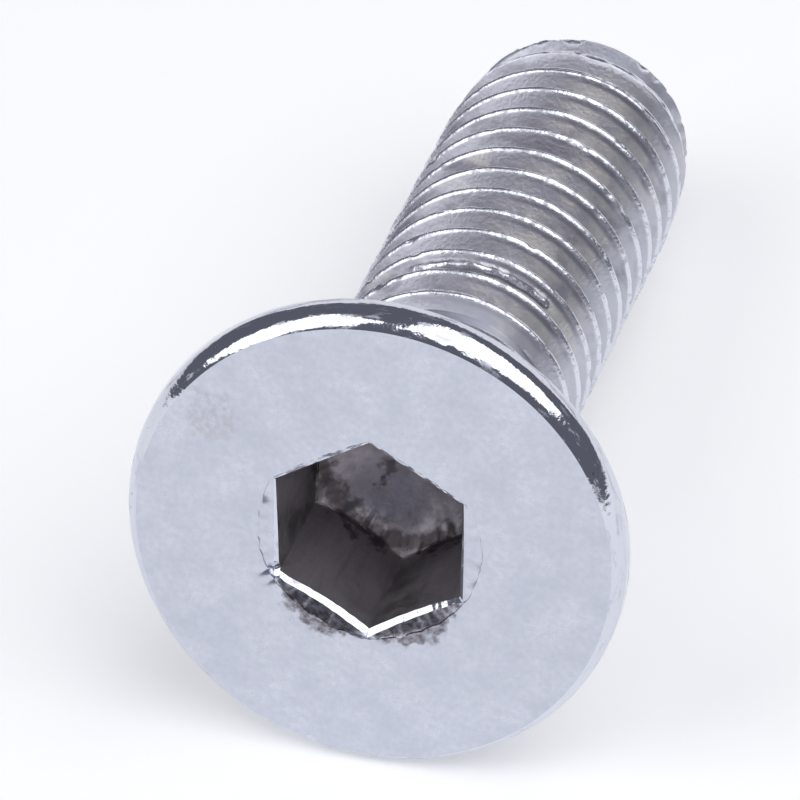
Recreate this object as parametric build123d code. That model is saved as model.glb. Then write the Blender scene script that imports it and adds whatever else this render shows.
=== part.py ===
from build123d import *
from math import atan2, ceil, cos, degrees, radians, sin, tan
import os

# Countersunk screw with a hexagon socket, M6 x 20, right-hand coarse thread.
# It is drawn head up with the middle of its face at 0, 0, 0 and the shank down -Z,
# then tipped over to lie on its head rim and its last crests, with the tip towards +Y.

# head: an edge rounded off in a few flats, a land, then the cone
head_diameter = 11.6
cone_angle = 90.0
rim_height = 0.76
rim_round = 0.44
rim_flats = 3
neck_fillet = 0.4
seam_turn = 2.37

# thread
thread_diameter = 5.9
pitch = 1.0
flank_angle = 60.0
thread_depth = 0.6134
crest_flat = 0.125
start_past_tip = 0.76

# shank, measured along the screw from the face
length = 20.0
neck_end = 5.9
crest_full = 6.9
root_full = 7.4
taper_start = 17.1
point_start = 19.45
taper_drop = 0.23
point_diameter = 4.4

# hexagon socket
across_flats = 4.08
socket_depth = 3.1
socket_turn = 32.0
bottom_angle = 120.0
mouth_margin = 0.3
mouth_slope = 15.0
entry_bevel = 0.12

# how far one shape runs into another, or past the part, so that no two faces coincide
overlap = 0.1
clearance = 1.0

head_r = head_diameter / 2
crest_r = thread_diameter / 2
core_r = crest_r - thread_depth
neck_r = crest_r - thread_depth / 2
taper_r = crest_r - taper_drop
point_r = point_diameter / 2
corner_r = across_flats / 2 / cos(radians(30))
mouth_r = corner_r + mouth_margin
cone_run = tan(radians(cone_angle / 2))
neck_start = rim_height + (head_r - neck_r) / cone_run


def turned(*points):
    """Solid of revolution about Z, from corners given as radius and depth below the face."""
    outline = Polyline(*[(r, 0, -depth) for r, depth in points], close=True)
    return revolve(make_face(outline), Axis.Z)


# head and neck, ending in a cone on which the thread's root runs out
rim_turns = [radians(90 / rim_flats * flat) for flat in range(rim_flats + 1)]
rim_edge = [(head_r - rim_round * (1 - sin(a)), rim_round * (1 - cos(a))) for a in rim_turns]
core_fall = (neck_r - core_r) / (root_full - neck_end)
core_end = root_full + overlap / core_fall
blank = Rot(Z=seam_turn) * turned(
    (0, 0),
    *rim_edge,
    (head_r, rim_height),
    (neck_r, neck_start),
    (neck_r, neck_end),
    (core_r - overlap, core_end),
    (0, core_end),
)
circles = blank.edges().filter_by(GeomType.CIRCLE)
under_head = circles.filter_by_position(Axis.Z, -neck_start - overlap, -neck_start + overlap)
blank = fillet(under_head, neck_fillet)

# socket: a hexagon that ends in a cone, with a shallow round countersink over its corners
bottom_drop = tan(radians(90 - bottom_angle / 2))
bore_r = corner_r + overlap
hexagon = RegularPolygon(across_flats / 2, 6, major_radius=False, rotation=socket_turn)
bore = turned(
    (0, -clearance),
    (bore_r, -clearance),
    (bore_r, socket_depth - overlap * bottom_drop),
    (0, socket_depth + corner_r * bottom_drop),
)
mouth = turned(
    (0, -clearance),
    (mouth_r, -clearance),
    (mouth_r, 0),
    (0, mouth_r * tan(radians(mouth_slope))),
)
pocket = extrude(Pos(0, 0, clearance) * hexagon, -length / 2) & bore
headed = blank - pocket - mouth
lips = headed.edges().filter_by(GeomType.HYPERBOLA)
lips = lips.filter_by_position(Axis.Z, -socket_depth / 2, 0)
headed = chamfer(lips, entry_bevel)

# thread: root, flank, crest and flank wound turn by turn between helices and closed
# at both ends by a radial face and a face from the last helix to the axis
flank_rise = thread_depth * tan(radians(flank_angle / 2))
root_flat = pitch - crest_flat - 2 * flank_rise
crest_rise = root_flat + flank_rise
corners = ((core_r, 0), (core_r, root_flat), (crest_r, crest_rise), (crest_r, crest_rise + crest_flat))
bottom = -length - start_past_tip - crest_rise - crest_flat / 2
turns = ceil((-neck_end - bottom) / pitch)
helices = [
    Pos(0, 0, bottom + turn * pitch + up) * Helix(pitch, pitch, r)
    for turn in range(turns)
    for r, up in corners
]
helices.append(Pos(0, 0, bottom + turns * pitch) * Helix(pitch, pitch, core_r))
windings = [helix.edge() for helix in helices]
skin = [Face.make_surface_from_curves(a, b) for a, b in zip(windings, windings[1:])]
for start, winding in ((bottom, windings[0]), (bottom + turns * pitch, windings[-1])):
    axle = Edge.make_line((0, 0, start), (0, 0, start + pitch))
    skin.append(Face.make_surface_from_curves(axle, winding))
    step = [(r, 0, start + up) for r, up in corners]
    step = [(0, 0, start), *step, (core_r, 0, start + pitch), (0, 0, start + pitch)]
    skin.append(make_face(Polyline(*step, close=True)).face())
rod = Solid(Shell(skin))

# the crests rise out of the neck, taper slightly over the last turns and end in a point bevel
crest_climb = (crest_r - neck_r) / (crest_full - neck_end)
taper = taper_drop / (point_start - taper_start)
shank = rod & turned(
    (0, neck_end - pitch),
    (neck_r - crest_climb * pitch, neck_end - pitch),
    (crest_r + overlap, crest_full + overlap / crest_climb),
    (crest_r + overlap, taper_start - overlap / taper),
    (taper_r, point_start),
    (point_r, length),
    (0, length),
)
screw = headed + shank

# lay it down on the rim and on the last crest underneath, which the taper leaves wider
last_crest = length + start_past_tip - 1.75 * pitch
widening = taper * tan(radians(flank_angle / 2))
touch_depth = (last_crest + crest_flat / 2 - widening * taper_start) / (1 - widening)
touch_r = crest_r - taper * (touch_depth - taper_start)
lean = degrees(atan2(head_r - touch_r, touch_depth - rim_height))
screw = Rot(X=90 - lean) * screw
box = screw.bounding_box()
screw = Pos(-box.center().X, -box.center().Y, -box.min.Z) * screw

os.makedirs("parts", exist_ok=True)
export_step(screw, "parts/screw.step")
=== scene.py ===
import math

import bmesh
import bpy
from mathutils import Matrix, Vector, geometry, noise


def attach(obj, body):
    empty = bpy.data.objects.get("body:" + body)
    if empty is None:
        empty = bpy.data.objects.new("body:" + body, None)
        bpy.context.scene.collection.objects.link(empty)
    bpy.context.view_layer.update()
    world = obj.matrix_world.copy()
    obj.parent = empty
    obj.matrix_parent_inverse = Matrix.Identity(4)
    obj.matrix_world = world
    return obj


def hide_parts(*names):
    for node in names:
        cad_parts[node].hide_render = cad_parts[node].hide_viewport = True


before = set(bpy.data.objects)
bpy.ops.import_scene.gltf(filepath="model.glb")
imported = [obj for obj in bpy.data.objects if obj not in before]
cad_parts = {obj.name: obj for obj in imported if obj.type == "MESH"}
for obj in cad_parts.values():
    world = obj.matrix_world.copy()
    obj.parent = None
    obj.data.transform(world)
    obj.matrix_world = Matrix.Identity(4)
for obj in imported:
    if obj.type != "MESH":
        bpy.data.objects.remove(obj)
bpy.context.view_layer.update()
print("frame loaded")

# all shapes are made head up in mm, face centre at 0, 0, 0 and shank down -Z, then laid down
mm = 0.001
layDown = {
    "faceCentre": (0, -9.60709, 5.84623),
    "lean": 9.410419,     # the axis drops this far towards the tip
}
toFrame = (
    Matrix.Scale(mm, 4)
    @ Matrix.Translation(layDown["faceCentre"])
    @ Matrix.Rotation(math.radians(90 - layDown["lean"]), 4, "X")
)


def ramp(value, low, high):
    return min(max((value - low) / (high - low), 0), 1)


def smoothRamp(value, low, high):
    t = ramp(value, low, high)
    return t * t * (3 - 2 * t)


def throughTable(value, table):
    # straight lines through (value, result) pairs
    for (a, fromA), (b, fromB) in zip(table, table[1:]):
        if value <= b:
            return fromA + (fromB - fromA) * ramp(value, a, b)
    return table[-1][1]


def grain(point, scale, seed):
    # about -1 to 1, the same each run
    return noise.noise(Vector(point) * scale + Vector((seed * 7.3, seed * 3.1, seed * 5.7)))


def dentDepth(point, dents):
    # depth of shallow dents, from (deepest, waves per mm, seed) rows
    return sum(deepest * (0.5 + 0.5 * grain(point, waves, seed)) for deepest, waves, seed in dents)


def awayFrom(edge, point):
    a, b = (v.co for v in edge.verts)
    nearest, share = geometry.intersect_point_line(point, a, b)
    return (point - a.lerp(b, min(max(share, 0), 1))).length


def cornerWire(corners):
    # a lathe outline through corners of (radius, depth, rounding, its segments, cuts to the next, mark)
    bm = bmesh.new()
    mark = bm.verts.layers.float.new("mark")
    row = []
    for radius, depth, _, _, _, value in corners:
        vert = bm.verts.new((radius, 0, -depth))
        vert[mark] = value
        row.append(vert)
    for pair in zip(row, row[1:]):
        bm.edges.new(pair)
    middles = [(a.co + b.co) / 2 for a, b in zip(row, row[1:])]
    for vert, corner in zip(row, corners):
        if corner[2]:
            bmesh.ops.bevel(
                bm, geom=[vert], offset=corner[2], segments=corner[3], profile=0.5,
                affect="VERTICES", material=-1)
    for middle, corner in zip(middles, corners):
        if corner[4]:
            stretch = min(bm.edges, key=lambda e: awayFrom(e, middle))
            bmesh.ops.subdivide_edges(bm, edges=[stretch], cuts=corner[4])
    return bm, mark


# the finishes, in the order of the screw's material slots
faceFinish, rimFinish, socketFinish, shankFinish = range(4)

head = {
    "sides": 384,
    "radius": 5.8,
    "faceSink": 0.04,       # the face lies this far below the top of the blank
    "foldAngle": 22.0,       # the rounding leaves the face with a crisp fold of so many degrees
    "rimRounding": 0.395,
    "roundingBelow": 0.4,   # the face stands a little off the middle, so below the rounding is smaller
    "rimHeight": 0.78,
    "rimBack": 0.05,
    "neckRadius": 2.6433,
    "neckStart": 3.9167,
    "neckFillet": 0.16,
    "neckJoin": 5.2,         # the head's rings end here and the thread takes over
    "rimDents": ((0.010, 1.7, 11), (0.006, 5.0, 12)),
    "faceDents": ((0.002, 1.0, 13), (0.0008, 4.0, 14)),
    "coneDents": ((0.008, 1.4, 15), (0.004, 4.0, 16)),
}
socket = {
    "flatRadius": 2.07,
    "turn": 32.0,
    "shift": (-0.109, -0.028),   # the punch stood a little off the middle
    "depth": 3.35,
    "bottomSlope": 30.0,
    "lipRadius": 2.2025,         # the flats of the chamfer's outer edge
    "chamferWidth": 0.064,
    "chamferShift": 0.065,       # wider by this below, narrower by this above
    "chamferSlope": 42.0,
    "lipDepth": 0.015,           # the chamfer's outer edge lies this far below the face at the corners
    "scallopSlope": (0.14, 0.14, 0.14, 0.14, 0.5, 0.5),
    "scallopStep": 0.035,        # the punch's shoulder left a small step at its outer edge
    "scallopWidths": (0.40, 0.03, 0.07, 0.34, 0.28, 0.28),   # both from the +X side round
    "chip": {"place": (-2.27, -1.30), "reach": 0.34, "depth": 0.12},
    "tear": 0.16,                # how unevenly the walls end above the bottom
    "bottomDents": ((0.10, 0.8, 17), (0.03, 2.6, 18)),
}


def hexRadius(angle, flatRadius):
    third = math.radians(60)
    off = (angle - math.radians(socket["turn"])) % third - third / 2
    return flatRadius / math.cos(off)


def chamferWidth(angle):
    return socket["chamferWidth"] - socket["chamferShift"] * math.sin(angle)


def scallopShape(angle):
    # how far the countersink reaches past the chamfer on each side of the hexagon, and its slope
    third = math.radians(60)
    turned = (angle - math.radians(socket["turn"]) + third) % (2 * math.pi)
    side = int(turned // third) % 6
    bulge = math.cos((turned / third - side - 0.5) * math.pi)
    around = (math.cos(angle), math.sin(angle), 0)
    ragged = 0.5 * grain(around, 6, 1) + 0.45 * grain(around, 19, 2)
    width = socket["scallopWidths"][side] * bulge ** 0.7
    return 0.04 + width + ragged * (0.02 + 0.2 * width), socket["scallopSlope"][side]


def chipDepth(x, y):
    chip = socket["chip"]
    away = (Vector((x, y)) - Vector(chip["place"])).length
    torn = 0.6 + 0.8 * grain((x, y, 0), 7, 3)
    return chip["depth"] * torn * (1 - smoothRamp(away, 0.3 * chip["reach"], chip["reach"]))


def footTear(radius, angle):
    place = (radius * math.cos(angle), radius * math.sin(angle), 0)
    return socket["tear"] * (grain(place, 1.6, 4) + 0.6 * grain(place, 5, 6))


def shapeMouth(v, value, faceEdge, stand):
    # turns the lathe's round rings into the hexagon socket and its countersink
    radius, depth = v.co.xy.length, -v.co.z
    angle = math.atan2(v.co.y, v.co.x)
    lip = hexRadius(angle, socket["lipRadius"])
    side = hexRadius(angle, socket["lipRadius"] - chamferWidth(angle))
    width, slope = scallopShape(angle)
    lipDepth = socket["lipDepth"] + slope * (width - 0.04)
    wallTop = lipDepth + (lip - side) * math.tan(math.radians(socket["chamferSlope"]))
    fall = math.tan(math.radians(socket["bottomSlope"]))
    centred = 1
    if value <= 0:                          # face, spaced out anew from the mouth to its edge
        share = (radius - stand["mouth"]) / (stand["edge"] - stand["mouth"])
        radius = lip + width + share * (faceEdge - lip - width)
        centred = 1 - smoothRamp(share, 0, 1)
        depth = dentDepth((radius * math.cos(angle), radius * math.sin(angle), 0), head["faceDents"])
        depth *= smoothRamp(share, 0, 0.1) * smoothRamp(1 - share, 0, 0.1)
    elif value <= 1:                        # countersink, with its step bunched at the outer edge
        share = value ** 1.6
        radius = lip + width * (1 - share)
        step = socket["scallopStep"] * smoothRamp(value, 0, 0.2) * (1 + 1.5 * grain((*v.co.xy, 0), 3, 7))
        torn = 0.02 * grain((5 * math.cos(angle), 5 * math.sin(angle), 3 * value), 2.2, 5)
        depth = step + (lipDepth - step) * share + max(torn, 0) * share * (1 - share) * 4
    elif value <= 2:                        # chamfer
        share = value - 1
        radius = lip + (side - lip) * share
        depth = lipDepth + (wallTop - lipDepth) * share
    elif value <= 3:                        # walls
        down = ramp(depth, 0, socket["depth"])
        footDepth = socket["depth"] + footTear(radius, angle)
        radius -= stand["wall"] - side
        depth = wallTop + (footDepth + (stand["wall"] - side) * fall - wallTop) * down
    else:                                   # rough cone at the bottom
        level = smoothRamp(1 - radius / stand["wall"], 0, 0.25)
        radius *= side / stand["wall"]
        depth = socket["depth"] + footTear(radius, angle) * (1 - level) + (stand["wall"] - radius) * fall
        depth += level * dentDepth((radius * math.cos(angle), radius * math.sin(angle), 0), socket["bottomDents"])
    shiftX, shiftY = socket["shift"]
    x, y = radius * math.cos(angle) + shiftX * centred, radius * math.sin(angle) + shiftY * centred
    if value <= 2:
        depth += max(chipDepth(x, y), 0)
    v.co = (x, y, -depth - head["faceSink"])


def roundingSize(angle):
    # share of the full rounding, least at the bottom
    below = head["roundingBelow"]
    return below + (1 - below) * (0.5 + 0.5 * math.sin(angle))


def shapeRim(v, faceEdge):
    # bends the lathe's quarter round into one that starts with a crisp fold
    radius, depth, angle = v.co.xy.length, -v.co.z, math.atan2(v.co.y, v.co.x)
    size = roundingSize(angle)
    fold = math.radians(head["foldAngle"])
    swing = head["rimRounding"] * size / (1 - math.sin(fold))
    roundingDepth = swing * math.cos(fold)
    turned = math.asin(min((radius - faceEdge) / head["rimRounding"], 1))
    if depth < head["rimRounding"] - 1e-4:
        tilt = fold + turned * (math.pi / 2 - fold) / (math.pi / 2)
        radius = head["radius"] - swing * (1 - math.sin(tilt))
        depth = swing * (math.cos(fold) - math.cos(tilt))
    else:
        tilt = math.pi / 2
        down = ramp(depth, head["rimRounding"], head["rimHeight"])
        depth = roundingDepth + (head["rimHeight"] - roundingDepth) * down
    dent = dentDepth(v.co, head["rimDents"]) * smoothRamp(turned, 0.05, 0.3)
    radius -= dent * math.sin(tilt)
    depth += dent * math.cos(tilt) + head["faceSink"] * (1 - smoothRamp(depth, 0.3, 0.7))
    v.co = (*(v.co.xy.normalized() * radius), -depth)


def makeHead():
    wallRadius = (socket["lipRadius"] - socket["chamferWidth"]) / math.cos(math.radians(30))
    edge = head["radius"] - head["rimRounding"]
    stand = {"edge": edge, "mouth": 3.3, "lip": 3.0, "wall": wallRadius}    # round stand-ins
    fall = math.tan(math.radians(socket["bottomSlope"]))
    corners = (
        (head["neckRadius"], head["neckJoin"], 0, 0, 2, -1),
        (head["neckRadius"], head["neckStart"], head["neckFillet"], 3, 6, -1),
        (head["radius"], head["rimHeight"], head["rimBack"], 3, 3, -1),
        (head["radius"], 0, head["rimRounding"], 16, 15, -1),
        (stand["mouth"], 0, 0, 0, 5, 0),
        (stand["lip"], 0, 0, 0, 2, 1),
        (wallRadius, 0, 0, 0, 10, 2),
        (wallRadius, socket["depth"], 0.06, 3, 9, 3),
        (0, socket["depth"] + wallRadius * fall, 0, 0, 0, 4),
    )
    bm, mark = cornerWire(corners)
    bmesh.ops.spin(
        bm, geom=bm.verts[:] + bm.edges[:], cent=(0, 0, 0), axis=(0, 0, 1), dvec=(0, 0, 0),
        angle=2 * math.pi, steps=head["sides"], use_merge=True, use_duplicate=False)
    bmesh.ops.rotate(
        bm, verts=bm.verts[:], cent=(0, 0, 0),
        matrix=Matrix.Rotation(math.radians(socket["turn"]), 3, "Z"))
    bmesh.ops.remove_doubles(bm, verts=[v for v in bm.verts if v.co.xy.length < 0.01], dist=0.01)
    for face in bm.faces:
        inwards = max(v[mark] for v in face.verts)
        radius, depth = face.calc_center_median().xy.length, -face.calc_center_median().z
        if inwards < 0 and (depth > 1e-3 or radius > edge):
            face.material_index = rimFinish if depth < head["rimHeight"] + 0.02 else shankFinish
        elif inwards <= 1:
            face.material_index = faceFinish
        else:
            face.material_index = rimFinish if inwards <= 2 else socketFinish
    for v in bm.verts:
        radius, depth, value = v.co.xy.length, -v.co.z, v[mark]
        if value >= 0 or (depth < 1e-4 and radius < edge - 1e-3):
            faceEdge = head["radius"] - head["rimRounding"] * roundingSize(math.atan2(v.co.y, v.co.x))
            shapeMouth(v, max(value, 0), faceEdge, stand)
        elif depth < head["rimHeight"] - 1e-3:
            shapeRim(v, edge)
        else:
            smooth = smoothRamp(depth, 0.8, 1.1) * (1 - smoothRamp(depth, 4.9, 5.2))
            radius -= dentDepth(v.co, head["coneDents"]) * smooth
            v.co = (*(v.co.xy.normalized() * radius), -depth)
    return bm


thread = {
    "crestRadius": 2.948,
    "rootRadius": 2.3366,
    "pitch": 1.0,
    "crestFlat": 0.125,
    "rootFlat": 0.1667,
    "crestRounding": 0.088,
    "rootRounding": 0.09,
    "phase": 0.76,        # depth past whole turns where the crest crosses the +X side
    "stepsPerTurn": 200,
    "firstTurn": 5,
    "turns": 17,
    "tip": 19.99,
    "tipRings": (0.98, 0.93, 0.9, 0.88, 0.85, 0.8, 0.75, 0.6, 0.3),   # the end face's rings, each a share of the last
    "endDents": ((0.022, 0.8, 29), (0.006, 3.0, 30)),
    "seam": 0.015,        # depth of the groove that the rolling dies left along the crest
    "nick": 0.035,
    "wobble": 0.012,
    "flankDents": ((0.012, 0.9, 21), (0.004, 3.0, 22)),
    "chips": 0.08,        # how deep the last turns are chipped
    "lap": {"turn": 8, "offset": -0.28, "height": 0.13, "from": 35, "to": 128},   # a folded second ridge
}
crestLimit = (
    (5.35, head["neckRadius"]), (5.5, 2.74), (5.9, 2.8), (6.4, 2.93), (6.9, 2.95), (17.1, 2.95), (18.4, 2.85),
    (19.45, 2.70), (20.0, 2.25), (30.0, 1.0))
rootLimit = ((5.9, head["neckRadius"]), (7.4, 2.3366), (30.0, 2.3366))


def crestOffset(angle, depth):
    # how far a point lies from the nearest crest along the axis, + towards the tip
    return (depth - thread["phase"] + angle / (2 * math.pi) + 0.5) % 1 - 0.5


def lapShare(angle, depth):
    # how much of the folded ridge stands at a point, 1 on its line
    lap, degrees = thread["lap"], math.degrees(angle)
    if round(depth - thread["phase"] + angle / (2 * math.pi)) != lap["turn"]:
        return 0
    starting, ending = smoothRamp(degrees, lap["from"], lap["from"] + 12), smoothRamp(degrees, lap["to"], lap["to"] - 12)
    return starting * ending * (1 - smoothRamp(abs(crestOffset(angle, depth) - lap["offset"]), 0.02, 0.1))


def wornRadius(v, radius):
    # the thread's own marks: seam, nicks, dents, the folded ridge and the chipped end
    depth, angle = -v.co.z, math.atan2(v.co.y, v.co.x) % (2 * math.pi)
    offset = crestOffset(angle, depth)
    atCrest = 1 - smoothRamp(abs(offset), 0.05, 0.15)
    onThread = smoothRamp(depth, 6.0, 6.8)
    nick = smoothRamp(grain(v.co, 3.5, 23), 0.38, 0.6)
    seam = smoothRamp(grain(v.co, 1.2, 24), -0.2, 0.1) * (1 - smoothRamp(abs(offset), 0.005, 0.03))
    radius += thread["wobble"] * (grain(v.co, 0.7, 25) - 1) * atCrest * onThread
    radius -= thread["nick"] * nick * atCrest * onThread
    radius -= thread["seam"] * seam * onThread
    radius -= dentDepth(v.co, thread["flankDents"]) * (1 - atCrest)
    radius += thread["lap"]["height"] * lapShare(angle, depth) * (0.8 + 0.6 * grain(v.co, 4, 26))
    atEnd = smoothRamp(depth, 18.2, 19.4) * smoothRamp(grain(v.co, 2.2, 27) + 0.6 * grain(v.co, 6, 28), 0.0, 0.5)
    return radius - thread["chips"] * atEnd * smoothRamp(radius, 2.4, 2.6)


def makeThread():
    crest, root, pitch = thread["crestRadius"], thread["rootRadius"], thread["pitch"]
    halfCrest, halfRoot = thread["crestFlat"] / 2, thread["rootFlat"] / 2
    start = thread["firstTurn"] + thread["turns"] + thread["phase"] - pitch
    corners = (
        (root, start + pitch / 2, 0, 0, 0, 0),
        (root, start + pitch / 2 - halfRoot, thread["rootRounding"], 2, 2, 0),
        (crest, start + halfCrest, thread["crestRounding"], 3, 1, 1),
        (crest, start - halfCrest, thread["crestRounding"], 3, 5, 1),
        (root, start - pitch / 2 + halfRoot, thread["rootRounding"], 2, 0, 0),
        (root, start - pitch / 2, 0, 0, 0, 0),
    )
    bm, mark = cornerWire(corners)
    bmesh.ops.spin(
        bm, geom=bm.verts[:] + bm.edges[:], cent=(0, 0, 0), axis=(0, 0, 1),
        dvec=(0, 0, pitch / thread["stepsPerTurn"]), angle=2 * math.pi,
        steps=thread["stepsPerTurn"], use_merge=False, use_duplicate=False)
    oneTurn = bm.verts[:] + bm.edges[:] + bm.faces[:]
    for turn in range(1, thread["turns"]):
        copied = bmesh.ops.duplicate(bm, geom=oneTurn)["geom"]
        bmesh.ops.translate(
            bm, vec=(0, 0, turn * pitch), verts=[v for v in copied if isinstance(v, bmesh.types.BMVert)])
    bmesh.ops.remove_doubles(bm, verts=bm.verts[:], dist=0.002)
    for v in bm.verts:
        radius, depth = v.co.xy.length, -v.co.z
        fitted = min(max(radius, throughTable(depth, rootLimit)), throughTable(depth, crestLimit))
        fitted = wornRadius(v, fitted) / radius
        v.co.x *= fitted
        v.co.y *= fitted
    for depth, side in ((thread["tip"], -1), (head["neckJoin"] + 0.15, 1)):
        bmesh.ops.bisect_plane(
            bm, geom=bm.verts[:] + bm.edges[:] + bm.faces[:], dist=1e-5, plane_co=(0, 0, -depth),
            plane_no=(0, 0, side), clear_outer=True)
    for face in bm.faces:
        face.material_index = shankFinish
    return bm


def joinMeshes(first, second):
    # both bmeshes in one, by way of a passing mesh
    passing = bpy.data.meshes.new("passing")
    second.to_mesh(passing)
    first.from_mesh(passing)
    second.free()
    bpy.data.meshes.remove(passing)
    return first


def loopAt(bm, depth):
    return [e for e in bm.edges
            if e.is_boundary and all(abs(v.co.z + depth) < 1e-3 for v in e.verts)]


def closeTip(bm):
    # rings that shrink towards the axis and grow rounder, then one point in the middle
    edges = loopAt(bm, thread["tip"])
    ring = {v for e in edges for v in e.verts}
    mean = sum(v.co.xy.length for v in ring) / len(ring)
    for share in thread["tipRings"]:
        grown = bmesh.ops.extrude_edge_only(bm, edges=edges)["geom"]
        ring = {v for v in grown if isinstance(v, bmesh.types.BMVert)}
        edges = [e for e in grown if isinstance(e, bmesh.types.BMEdge) and set(e.verts) <= ring]
        for v in ring:
            radius = v.co.xy.length
            v.co.xy *= share * (share * radius + (1 - share) * mean) / radius
            v.co.z = -thread["tip"] + dentDepth(v.co.xy.to_3d(), thread["endDents"]) * smoothRamp(mean, 2.3, 2.0)
        mean *= share
    bmesh.ops.pointmerge(bm, verts=list(ring), merge_co=(0, 0, -thread["tip"]))
    for face in bm.faces:
        if face.calc_center_median().z < -thread["tip"] + 0.05:
            face.material_index = shankFinish


def makeScrew():
    bm = joinMeshes(makeHead(), makeThread())
    ends = loopAt(bm, head["neckJoin"]) + loopAt(bm, head["neckJoin"] + 0.15)
    for face in bmesh.ops.bridge_loops(bm, edges=ends)["faces"]:
        face.material_index = shankFinish
    closeTip(bm)
    bmesh.ops.recalc_face_normals(bm, faces=bm.faces[:])
    crest = bm.verts.layers.float.new("crest")
    for v in bm.verts:
        angle = math.atan2(v.co.y, v.co.x) % (2 * math.pi)
        onThread = smoothRamp(-v.co.z, 5.3, 5.7) * smoothRamp(-v.co.z, 19.9, 19.6)
        v[crest] = max(1 - 2 * abs(crestOffset(angle, -v.co.z)), 0.9 * lapShare(angle, -v.co.z)) * onThread
    for edge in bm.edges:
        crisp = 28 if edge.verts[0].co.z > -head["neckJoin"] else 50
        finishes = {face.material_index for face in edge.link_faces}
        edge.smooth = edge.calc_face_angle(0) < math.radians(crisp) and finishes != {faceFinish, rimFinish}
    bmesh.ops.transform(bm, matrix=toFrame, verts=bm.verts[:])
    print("open edges:", sum(1 for e in bm.edges if not e.is_manifold), "faces:", len(bm.faces))
    mesh = bpy.data.meshes.new("screw_body")
    for face in bm.faces:
        face.smooth = True
    bm.to_mesh(mesh)
    bm.free()
    screw = bpy.data.objects.new("screw_body", mesh)
    bpy.context.scene.collection.objects.link(screw)
    return screw


screw = makeScrew()
print("screw made:", sum(len(p.vertices) - 2 for p in screw.data.polygons), "triangles")


def node(tree, kind, inputs=(), **settings):
    # a shader node with its settings, its values and what feeds it
    made = tree.nodes.new("ShaderNode" + kind)
    for name, value in settings.items():
        setattr(made, name, value)
    for name, value in dict(inputs).items():
        if isinstance(value, bpy.types.NodeSocket):
            tree.links.new(value, made.inputs[name])
        else:
            made.inputs[name].default_value = value
    return made


def mixColor(tree, mask, under, over):
    # colour sockets of the Mix node: 6 and 7 in, 2 out
    return node(tree, "Mix", {0: mask, 6: under, 7: over}, data_type="RGBA").outputs[2]


def math2(tree, operation, first, second):
    return node(tree, "Math", {0: first, 1: second}, operation=operation).outputs[0]


def spread(tree, value, low, high, toLow=0.0, toHigh=1.0):
    return node(
        tree, "MapRange",
        {"Value": value, "From Min": low, "From Max": high, "To Min": toLow, "To Max": toHigh},
        interpolation_type="SMOOTHSTEP").outputs["Result"]


def newGroup(name, inputs, outputs):
    group = bpy.data.node_groups.new(name, "ShaderNodeTree")
    for label, kind, value in inputs:
        socket = group.interface.new_socket(label, in_out="INPUT", socket_type="NodeSocket" + kind)
        socket.default_value = value
    for label in outputs:
        group.interface.new_socket(label, in_out="OUTPUT", socket_type="NodeSocketFloat")
    return group, group.nodes.new("NodeGroupInput").outputs, group.nodes.new("NodeGroupOutput").inputs


def makePatches():
    # cloudy patches; Low and High set how much is covered and how soft the edge is
    group, given, out = newGroup(
        "patches",
        (("Place", "Vector", (0, 0, 0)), ("Stretch", "Vector", (1, 1, 1)), ("Scale", "Float", 1.0),
         ("Detail", "Float", 4.0), ("Low", "Float", 0.4), ("High", "Float", 0.6)),
        ("Mask",))
    place = node(group, "VectorMath", {0: given["Place"], 1: given["Stretch"]}, operation="MULTIPLY")
    cloud = node(group, "TexNoise", {
        "Vector": place.outputs[0], "Scale": given["Scale"], "Detail": given["Detail"], "Roughness": 0.6})
    mask = spread(group, cloud.outputs["Fac"], given["Low"], given["High"])
    group.links.new(mask, out["Mask"])
    return group


def makeSpecks():
    # small separate spots; Share is how many cells hold one
    group, given, out = newGroup(
        "specks",
        (("Place", "Vector", (0, 0, 0)), ("Scale", "Float", 3.0), ("Size", "Float", 0.15),
         ("Share", "Float", 0.3)),
        ("Mask",))
    ragged = node(group, "TexNoise", {"Vector": given["Place"], "Scale": 9.0, "Detail": 2.0})
    offset = node(group, "VectorMath", {0: ragged.outputs["Color"], 1: (0.12, 0.12, 0.12)}, operation="MULTIPLY")
    place = node(group, "VectorMath", {0: given["Place"], 1: offset.outputs[0]}, operation="ADD")
    cells = node(group, "TexVoronoi", {"Vector": place.outputs[0], "Scale": given["Scale"]})
    inside = math2(group, "LESS_THAN", cells.outputs["Distance"], given["Size"])
    pick = node(group, "SeparateColor", {0: cells.outputs["Color"]})
    chosen = math2(group, "LESS_THAN", pick.outputs[0], given["Share"])
    group.links.new(math2(group, "MULTIPLY", inside, chosen), out["Mask"])
    return group


def makeSmudge():
    # one ragged blot around a centre
    group, given, out = newGroup(
        "smudge",
        (("Place", "Vector", (0, 0, 0)), ("Centre", "Vector", (0, 0, 0)), ("Reach", "Float", 0.3),
         ("Ragged", "Float", 0.3), ("Scale", "Float", 4.0), ("Core", "Float", 0.6)),
        ("Mask",))
    away = node(group, "VectorMath", {0: given["Place"], 1: given["Centre"]}, operation="DISTANCE")
    cloud = node(group, "TexNoise", {"Vector": given["Place"], "Scale": given["Scale"], "Detail": 4.0})
    uneven = math2(group, "MULTIPLY", math2(group, "SUBTRACT", cloud.outputs["Fac"], 0.5), given["Ragged"])
    share = math2(group, "DIVIDE", math2(group, "ADD", away.outputs["Value"], uneven), given["Reach"])
    group.links.new(spread(group, share, 1.0, given["Core"]), out["Mask"])
    return group


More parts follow.
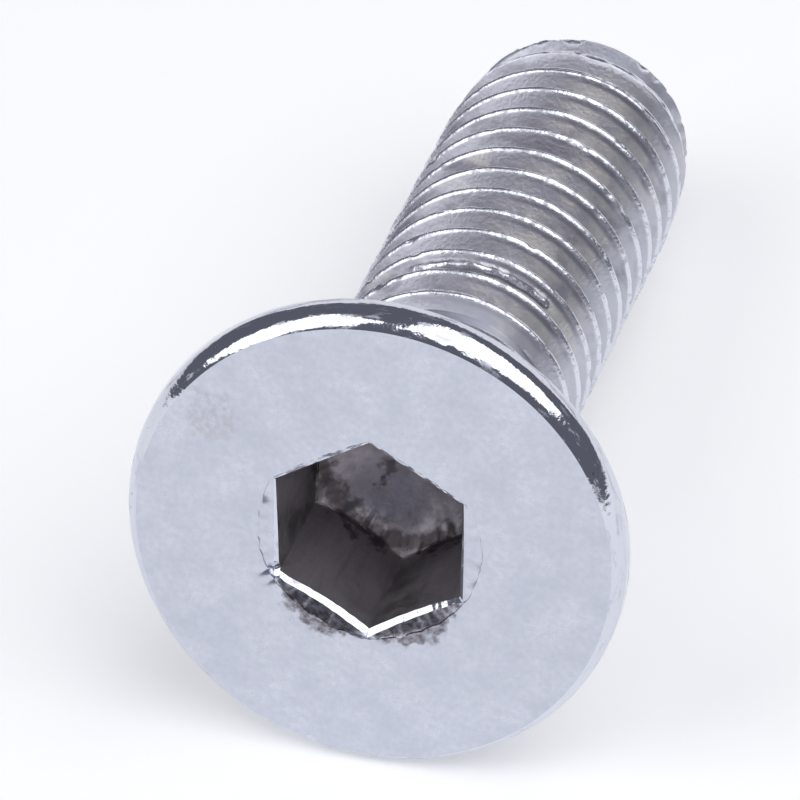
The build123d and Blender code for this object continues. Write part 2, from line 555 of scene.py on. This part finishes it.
def makeGrain():
    # height of a fine and a coarse grain, for a bump
    group, given, out = newGroup(
        "metalGrain",
        (("Place", "Vector", (0, 0, 0)), ("Fine", "Float", 20.0), ("Coarse", "Float", 4.0),
         ("Balance", "Float", 0.5)),
        ("Height",))
    fine = node(group, "TexNoise", {"Vector": given["Place"], "Scale": given["Fine"], "Detail": 3.0})
    coarse = node(group, "TexNoise", {"Vector": given["Place"], "Scale": given["Coarse"], "Detail": 2.0})
    height = node(group, "Mix", {0: given["Balance"], 2: fine.outputs["Fac"], 3: coarse.outputs["Fac"]})
    group.links.new(height.outputs[0], out["Height"])
    return group


groups = {
    "patches": makePatches(), "specks": makeSpecks(), "smudge": makeSmudge(), "grain": makeGrain(),
}


def effect(tree, name, place, output="Mask", **values):
    used = node(tree, "Group", node_tree=groups[name])
    tree.links.new(place, used.inputs["Place"])
    for label, value in values.items():
        used.inputs[label].default_value = value
    return used.outputs[output]


def newMetal(name):
    # a metal whose patterns follow the screw's own axis, in mm
    mat = bpy.data.materials.new(name)
    mat.use_nodes = True
    tree = mat.node_tree
    shader = tree.nodes["Principled BSDF"]
    shader.inputs["Metallic"].default_value = 1
    back = toFrame.inverted()
    place = node(tree, "Mapping", {
        "Vector": node(tree, "TexCoord").outputs["Object"],
        "Location": back.translation, "Rotation": back.to_euler(), "Scale": back.to_scale()})
    return mat, tree, shader, place.outputs["Vector"]


def addBump(tree, shader, height, strength, distance):
    bump = node(tree, "Bump", {"Height": height, "Strength": strength, "Distance": distance})
    tree.links.new(bump.outputs["Normal"], shader.inputs["Normal"])


faceSteel = {
    "light": (0.675, 0.695, 0.775, 1),
    "dull": (0.51, 0.535, 0.62, 1),
    "tarnish": (0.50, 0.50, 0.54, 1),
    "smudge": (-3.81, 2.52, 0),
    "smudgeReach": 0.75,
    # painted dark reflection: colour of the dark crescents at the socket's lower sides
    "reflectedDark": (0.13, 0.11, 0.125, 1),
    "darkReflections": ((-0.81, -1.35, 0), (0.69, -1.30, 0)),    # centres inside the socket's two lower sides, for the painted dark reflections there
    "roughness": (0.27, 0.31),
    "bump": 0.12,
}


def makeFaceSteel():
    mat, tree, shader, place = newMetal("groundSteel")
    cloudy = effect(tree, "patches", place, Scale=0.8, Detail=6, Low=0.3, High=0.7)
    streaky = effect(tree, "patches", place, Stretch=(0.5, 2.5, 1), Scale=2.0, Detail=6, Low=0.3, High=0.7)
    fine = effect(tree, "patches", place, Scale=7.0, Detail=6, Low=0.3, High=0.7)
    color = mixColor(tree, math2(tree, "MULTIPLY", cloudy, 0.5), faceSteel["light"], faceSteel["dull"])
    color = mixColor(tree, math2(tree, "MULTIPLY", streaky, 0.25), color, faceSteel["dull"])
    color = mixColor(tree, math2(tree, "MULTIPLY", fine, 0.5), color, faceSteel["dull"])
    blot = effect(
        tree, "smudge", place, Centre=faceSteel["smudge"], Reach=faceSteel["smudgeReach"], Ragged=1.2, Scale=3.0)
    color = mixColor(tree, math2(tree, "MULTIPLY", math2(tree, "MULTIPLY", blot, fine), 0.9), color, faceSteel["tarnish"])
    dots = effect(tree, "specks", place, Scale=0.9, Size=0.05, Share=0.3)
    color = mixColor(tree, math2(tree, "MULTIPLY", dots, 0.5), color, faceSteel["tarnish"])
    # painted dark reflection: flecked dark crescents on the countersink and face at the socket's two lower sides
    for centre in faceSteel["darkReflections"]:
        blot = effect(tree, "smudge", place, Centre=centre, Reach=1.42, Ragged=0.9, Scale=4.0, Core=0.85)
        flecked = spread(tree, fine, 0, 1, 0.95, 0.45)
        color = mixColor(tree, math2(tree, "MULTIPLY", blot, flecked), color, faceSteel["reflectedDark"])
    tree.links.new(color, shader.inputs["Base Color"])
    rough = spread(tree, cloudy, 0, 1, *faceSteel["roughness"])
    tree.links.new(rough, shader.inputs["Roughness"])
    height = effect(tree, "grain", place, "Height", Fine=14.0, Coarse=3.0, Balance=0.35)
    addBump(tree, shader, height, faceSteel["bump"], 0.00003)
    return mat


rimSteel = {
    "bright": (0.66, 0.68, 0.75, 1),
    "pitted": (0.30, 0.31, 0.40, 1),
    "roughness": (0.07, 0.36),
    "bump": 0.2,
}


def makeRimSteel():
    mat, tree, shader, place = newMetal("polishedSteel")
    pits = effect(tree, "specks", place, Scale=3.0, Size=0.14, Share=0.25)
    scuffed = effect(tree, "patches", place, Stretch=(0.7, 0.7, 3.5), Scale=2.2, Detail=5, Low=0.5, High=0.68)
    color = mixColor(tree, math2(tree, "MULTIPLY", scuffed, 0.2), rimSteel["bright"], rimSteel["pitted"])
    color = mixColor(tree, math2(tree, "MULTIPLY", pits, 0.5), color, rimSteel["pitted"])
    tree.links.new(color, shader.inputs["Base Color"])
    tree.links.new(spread(tree, scuffed, 0, 1, *rimSteel["roughness"]), shader.inputs["Roughness"])
    height = effect(tree, "grain", place, "Height", Fine=6.0, Coarse=2.5, Balance=0.5)
    addBump(tree, shader, height, rimSteel["bump"], 0.00006)
    return mat


socketSteel = {
    "wall": (0.51, 0.49, 0.50, 1),
    # colour of the painted reflection over the bottom
    "bottom": (0.56, 0.535, 0.59, 1),
    # colour of the smears and streaks, and of the dark ring at the walls' feet, which is partly painted shade
    "stainAndShade": (0.11, 0.09, 0.10, 1),
    "middle": (-0.109, -0.028, -3.9),
    "smears": (((-0.70, -0.65, -4.35), 0.27), ((-0.84, -1.04, -4.14), 0.18)),
    "roughness": (0.35, 0.5),
    "bump": 0.3,
}


def makeSocketSteel():
    mat, tree, shader, place = newMetal("dullSteel")
    # darker ring where the walls meet the bottom: partly chips left by broaching, partly painted shade in the corner
    foot = effect(tree, "smudge", place, Centre=socketSteel["middle"], Reach=2.3, Ragged=0.7, Core=0.93)
    # painted reflection: the middle of the bottom and ragged bits of the walls' feet painted lighter
    bottom = effect(tree, "smudge", place, Centre=socketSteel["middle"], Reach=2.0, Ragged=0.9, Core=0.85)
    color = mixColor(tree, math2(tree, "MULTIPLY", foot, 0.75), socketSteel["wall"], socketSteel["stainAndShade"])
    color = mixColor(tree, bottom, color, socketSteel["bottom"])
    for centre, reach in socketSteel["smears"]:
        smear = effect(tree, "smudge", place, Centre=centre, Reach=reach, Ragged=0.7, Scale=5.0, Core=0.3)
        color = mixColor(tree, math2(tree, "MULTIPLY", smear, 0.7), color, socketSteel["stainAndShade"])
    broached = effect(tree, "patches", place, Stretch=(1, 1, 0.12), Scale=5.0, Low=0.45, High=0.75)
    color = mixColor(tree, math2(tree, "MULTIPLY", broached, 0.2), color, socketSteel["stainAndShade"])
    tree.links.new(color, shader.inputs["Base Color"])
    cloudy = effect(tree, "patches", place, Scale=1.5, Low=0.4, High=0.6)
    tree.links.new(spread(tree, cloudy, 0, 1, *socketSteel["roughness"]), shader.inputs["Roughness"])
    height = effect(tree, "grain", place, "Height", Fine=10.0, Coarse=2.5, Balance=0.6)
    addBump(tree, shader, height, socketSteel["bump"], 0.00005)
    return mat


shankSteel = {
    # colour of the painted highlight along the crests
    "bright": (0.74, 0.755, 0.82, 1),
    "plain": (0.57, 0.585, 0.65, 1),
    # colour of the painted shade on the flanks away from the +X strip
    "dull": (0.47, 0.465, 0.53, 1),
    # colour of the dark blotches, partly stains, partly painted shade
    "dark": (0.19, 0.175, 0.215, 1),
    "shade": (0.22, 0.215, 0.255, 1),
    # cream: colour of random cream patches and of the painted reflection low on the flanks
    "cream": (0.76, 0.735, 0.70, 1),
    "roughness": (0.40, 0.50),
    "crestRoughness": 0.24,
    "shadeSide": (3.05, 2.3),          # x of the painted shade's ragged edge, from the lighter plain strip to the painted shade
    "shadeStart": (-5.8, -7.4),        # heights between which the painted shade begins and ends
    "shadeEnd": (-18.9, -17.6),
    "bandSide": (-0.4, 0.9),          # on this side the flanks get a painted shade beside the crest and a painted cream reflection lower down
    "bump": 0.3,
}


def makeShankSteel():
    mat, tree, shader, place = newMetal("rolledSteel")
    dark = effect(tree, "patches", place, Stretch=(0.45, 0.45, 1.6), Scale=1.2, Detail=5, Low=0.45, High=0.7)
    cream = effect(tree, "patches", place, Stretch=(0.6, 0.6, 1.4), Scale=0.9, Detail=4, Low=0.58, High=0.72)
    split = node(tree, "SeparateXYZ", {0: place}).outputs
    cloud = effect(tree, "patches", place, Scale=1.2, Detail=5, Low=0.3, High=0.7)
    # painted shade: the flanks darker everywhere but a ragged strip along the +X side, and not near the head or the tip
    side = math2(tree, "ADD", split[0], math2(tree, "MULTIPLY", cloud, 0.6))
    reach = math2(
        tree, "MULTIPLY", spread(tree, split[2], *shankSteel["shadeStart"]), spread(tree, split[2], *shankSteel["shadeEnd"]))
    dull = math2(tree, "MULTIPLY", reach, spread(tree, side, *shankSteel["shadeSide"]))
    color = mixColor(tree, dull, shankSteel["plain"], shankSteel["dull"])
    # dark blotches of random shape, only inside the painted shade: partly stains, partly painted shade
    color = mixColor(tree, math2(tree, "MULTIPLY", dark, math2(tree, "MULTIPLY", dull, 0.8)), color, shankSteel["dark"])
    color = mixColor(tree, math2(tree, "MULTIPLY", cream, 0.6), color, shankSteel["cream"])
    along = node(tree, "Attribute", attribute_name="crest").outputs["Fac"]
    # painted shade and painted reflection: in the +X part of the shaded zone, a dark band beside each crest and patchy
    # cream lower on the flanks
    bandedFlanks = math2(tree, "MULTIPLY", dull, spread(tree, split[0], *shankSteel["bandSide"]))
    patchy = effect(tree, "patches", place, Stretch=(0.6, 0.6, 1), Scale=1.6, Detail=5, Low=0.35, High=0.6)
    below = math2(tree, "MULTIPLY", math2(tree, "MULTIPLY", bandedFlanks, patchy), spread(tree, along, 0.70, 0.60))
    color = mixColor(tree, math2(tree, "MULTIPLY", below, 0.75), color, shankSteel["cream"])
    crestShade = math2(tree, "MULTIPLY", bandedFlanks, spread(tree, along, 0.64, 0.72))
    color = mixColor(tree, math2(tree, "MULTIPLY", crestShade, 0.75), color, shankSteel["shade"])
    # painted highlight: each crest and the folded ridge painted lighter, worn off in random patches
    crest = spread(tree, along, 0.75, 0.81)
    worn = effect(tree, "patches", place, Scale=5.0, Detail=3, Low=0.5, High=0.62)
    crest = math2(tree, "MULTIPLY", crest, spread(tree, worn, 0, 1, 1, 0.3))
    color = mixColor(tree, crest, color, shankSteel["bright"])
    tree.links.new(color, shader.inputs["Base Color"])
    flankRough = spread(tree, dark, 0, 1, *shankSteel["roughness"])
    rough = node(tree, "Mix", {0: crest, 2: flankRough, 3: shankSteel["crestRoughness"]}).outputs[0]
    tree.links.new(rough, shader.inputs["Roughness"])
    height = effect(tree, "grain", place, "Height", Fine=11.0, Coarse=3.0, Balance=0.4)
    addBump(tree, shader, height, shankSteel["bump"], 0.00005)
    return mat


for make in (makeFaceSteel, makeRimSteel, makeSocketSteel, makeShankSteel):
    screw.data.materials.append(make())
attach(screw, "root")
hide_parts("screw")
print("finishes made")

stage = {
    "floorSize": 3.0,
    "floorColor": (0.9, 0.905, 0.915, 1),
    "floorRoughness": 0.9,
    "floorGlow": 0.33,            # the paper is lit a little from below
    "roomColor": (0.80, 0.82, 1.0, 1),
    "roomStrength": 0.17,         # the dim room that the bright metal mirrors
    "backdropStrength": 1.0,      # what the camera sees past the floor
    "boxes": {
        "overheadBox": {"place": (0.30, -0.125, 0.4), "aim": (0.30, -0.125, 0), "size": (0.62, 0.50),
                        "turn": -16, "radiance": 1.8},
        "leftBox": {"place": (-0.275, -0.208, 0.289), "aim": (0, 0, 0), "size": (0.27, 0.42),
                    "turn": 0, "radiance": 1.8},
        "backCard": {"place": (0.1, 1.3, 0.28), "aim": (0.05, 0, 0.1), "size": (2.2, 0.5),
                     "turn": 0, "radiance": 0.8},
    },
}


def makeFloor():
    bm = bmesh.new()
    bmesh.ops.create_grid(bm, x_segments=1, y_segments=1, size=stage["floorSize"] / 2)
    mesh = bpy.data.meshes.new("floor")
    bm.to_mesh(mesh)
    bm.free()
    paper = bpy.data.materials.new("whitePaper")
    paper.use_nodes = True
    shader = paper.node_tree.nodes["Principled BSDF"]
    shader.inputs["Base Color"].default_value = stage["floorColor"]
    shader.inputs["Roughness"].default_value = stage["floorRoughness"]
    shader.inputs["Emission Color"].default_value = stage["floorColor"]
    shader.inputs["Emission Strength"].default_value = stage["floorGlow"]
    mesh.materials.append(paper)
    floor = bpy.data.objects.new("floor", mesh)
    bpy.context.scene.collection.objects.link(floor)


def hangBox(name, place, aim, size, turn, radiance):
    data = bpy.data.lights.new(name, "AREA")
    data.shape = "RECTANGLE"
    data.size, data.size_y = size
    data.energy = radiance * math.pi * size[0] * size[1]
    lamp = bpy.data.objects.new(name, data)
    lamp.location = place
    turned = Matrix.Rotation(math.radians(turn), 3, "Z")
    lamp.rotation_euler = ((Vector(aim) - Vector(place)).to_track_quat("-Z", "Y").to_matrix() @ turned).to_euler()
    lamp.visible_camera = False
    bpy.context.scene.collection.objects.link(lamp)


def fillRoom():
    world = bpy.data.worlds.new("studioRoom")
    world.use_nodes = True
    tree = world.node_tree
    room = tree.nodes["Background"]
    room.inputs["Color"].default_value = stage["roomColor"]
    room.inputs["Strength"].default_value = stage["roomStrength"]
    backdrop = node(tree, "Background", {"Color": stage["floorColor"], "Strength": stage["backdropStrength"]})
    ray = node(tree, "LightPath")
    pick = node(tree, "MixShader", {0: ray.outputs["Is Camera Ray"], 1: room.outputs[0], 2: backdrop.outputs[0]})
    tree.links.new(pick.outputs[0], tree.nodes["World Output"].inputs["Surface"])
    bpy.context.scene.world = world


makeFloor()
fillRoom()
for name, box in stage["boxes"].items():
    hangBox(name, **box)

view = {
    "place": (0.055984, -0.2210785, 0.1910164),
    "forward": (-0.19504, 0.745293, -0.637584),
    "lens": 573.68,
}
cameraData = bpy.data.cameras.new("camera")
cameraData.lens = view["lens"]
cameraData.sensor_width = 36
cameraData.clip_start = 0.01
camera = bpy.data.objects.new("camera", cameraData)
camera.location = view["place"]
camera.rotation_euler = Vector(view["forward"]).to_track_quat("-Z", "Y").to_euler()
bpy.context.scene.collection.objects.link(camera)
bpy.context.scene.camera = camera
bpy.context.scene.view_settings.view_transform = "Standard"
print("stage and camera set")
